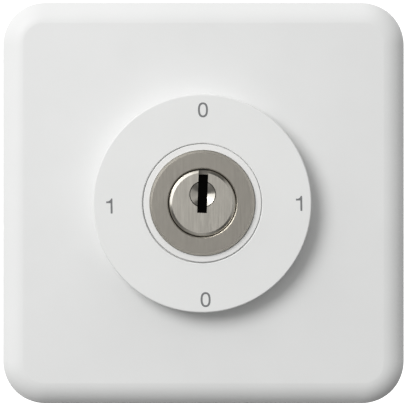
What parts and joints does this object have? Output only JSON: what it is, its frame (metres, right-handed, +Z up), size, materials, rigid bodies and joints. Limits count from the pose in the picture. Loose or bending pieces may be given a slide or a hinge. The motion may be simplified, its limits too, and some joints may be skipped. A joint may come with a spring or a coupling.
{
  "type": "key switch",
  "caption": "Square flush wall key switch: cover plate, raised round dial marked 0 and 1, and a key plug that turns a rotary contact rotor behind the wall.",
  "frame": {"origin": "on the lock's axis, in the plane of the wall, at the centre of the wall-screw pattern; the cover plate's centre lies 0.24 mm to the right of it", "axes": "+Z up, +X to the user's right, +Y into the wall along the lock's axis; the user stands at -Y"},
  "size_m": [0.086, 0.0538, 0.086],
  "materials": {
    "cover_white": "semi-matt moulded white plastic",
    "dial_white": "semi-matt moulded white plastic",
    "collar_white": "smooth white plastic",
    "mark_grey": "grey inlaid digits",
    "lock_nickel": "brushed nickel-plated brass",
    "plug_nickel": "nickel-plated brass, brushed from top to bottom",
    "sleeve_nickel": "satin nickel-plated brass tube",
    "pin_brass": "turned brass",
    "pin_steel": "ground steel",
    "spring_steel": "bright stainless spring steel",
    "driver_zinc": "die-cast zinc",
    "carrier_zinc": "die-cast zinc with a fine cast grain",
    "frame_steel": "galvanised sheet steel",
    "screw_steel": "zinc-plated steel",
    "shell_grey": "light grey thermoset",
    "base_grey": "dark grey thermoset",
    "bearing_black": "black glass-filled plastic",
    "rotor_ivory": "natural acetal",
    "contact_brass": "stamped brass",
    "contact_silver": "silver alloy",
    "button_orange": "orange plastic"
  },
  "bodies": {
    "fixed_parts": {"cover_plate": "cover_white", "dial_disc": "dial_white", "collar_ring": "collar_white", "dial_marks": "mark_grey", "lock_housing": "lock_nickel", "lock_sleeve": "sleeve_nickel", "driver_pins": "pin_steel", "pin_springs": "spring_steel", "detent_spring_left": "spring_steel", "detent_spring_right": "spring_steel", "clamp_spring_upper_right": "spring_steel", "clamp_spring_upper_left": "spring_steel", "clamp_spring_lower_right": "spring_steel", "clamp_spring_lower_left": "spring_steel", "cylinder_carrier": "carrier_zinc", "mounting_frame": "frame_steel", "cylinder_set_screw": "screw_steel", "carrier_screws": "screw_steel", "housing_screws": "screw_steel", "switch_front_shell": "shell_grey", "contact_base": "base_grey", "rotor_bearing_plate": "bearing_black", "fixed_contacts_front": "contact_brass", "fixed_contacts_rear": "contact_brass", "fixed_contact_rivets": "contact_silver"},
    "key_plug": {"lock_plug": "plug_nickel", "tumbler_pins": "pin_brass", "plug_clip": "pin_steel", "lock_driver": "driver_zinc", "driver_screw": "screw_steel"},
    "contact_rotor": {"switch_rotor": "rotor_ivory", "contact_bridge_front": "contact_brass", "contact_bridge_rear": "contact_brass", "bridge_contact_tips": "contact_silver"},
    "button_upper_right": {"release_button_upper_right": "button_orange"},
    "button_upper_left": {"release_button_upper_left": "button_orange"},
    "button_lower_right": {"release_button_lower_right": "button_orange"},
    "button_lower_left": {"release_button_lower_left": "button_orange"}
  },
  "joints": [
    {"name": "plug_turn", "type": "hinge", "parent": "fixed_parts", "child": "key_plug", "pos_m": [0, 0, 0], "axis": [0, 1, 0], "continuous": true},
    {"name": "rotor_turn", "type": "hinge", "parent": "fixed_parts", "child": "contact_rotor", "pos_m": [0, 0.028, 0], "axis": [0, 1, 0], "continuous": true, "deforming": ["detent_spring_left", "detent_spring_right"]},
    {"name": "press_upper_right", "type": "slide", "parent": "fixed_parts", "child": "button_upper_right", "axis": [0, -1, 0], "range_m": [0, 0.0015], "deforming": ["clamp_spring_upper_right"]},
    {"name": "press_upper_left", "type": "slide", "parent": "fixed_parts", "child": "button_upper_left", "axis": [0, -1, 0], "range_m": [0, 0.0015], "deforming": ["clamp_spring_upper_left"]},
    {"name": "press_lower_right", "type": "slide", "parent": "fixed_parts", "child": "button_lower_right", "axis": [0, -1, 0], "range_m": [0, 0.0015], "deforming": ["clamp_spring_lower_right"]},
    {"name": "press_lower_left", "type": "slide", "parent": "fixed_parts", "child": "button_lower_left", "axis": [0, -1, 0], "range_m": [0, 0.0015], "deforming": ["clamp_spring_lower_left"]}
  ],
  "couplings": [
    {"joint": "rotor_turn", "follows": "plug_turn", "ratio": 1}
  ]
}
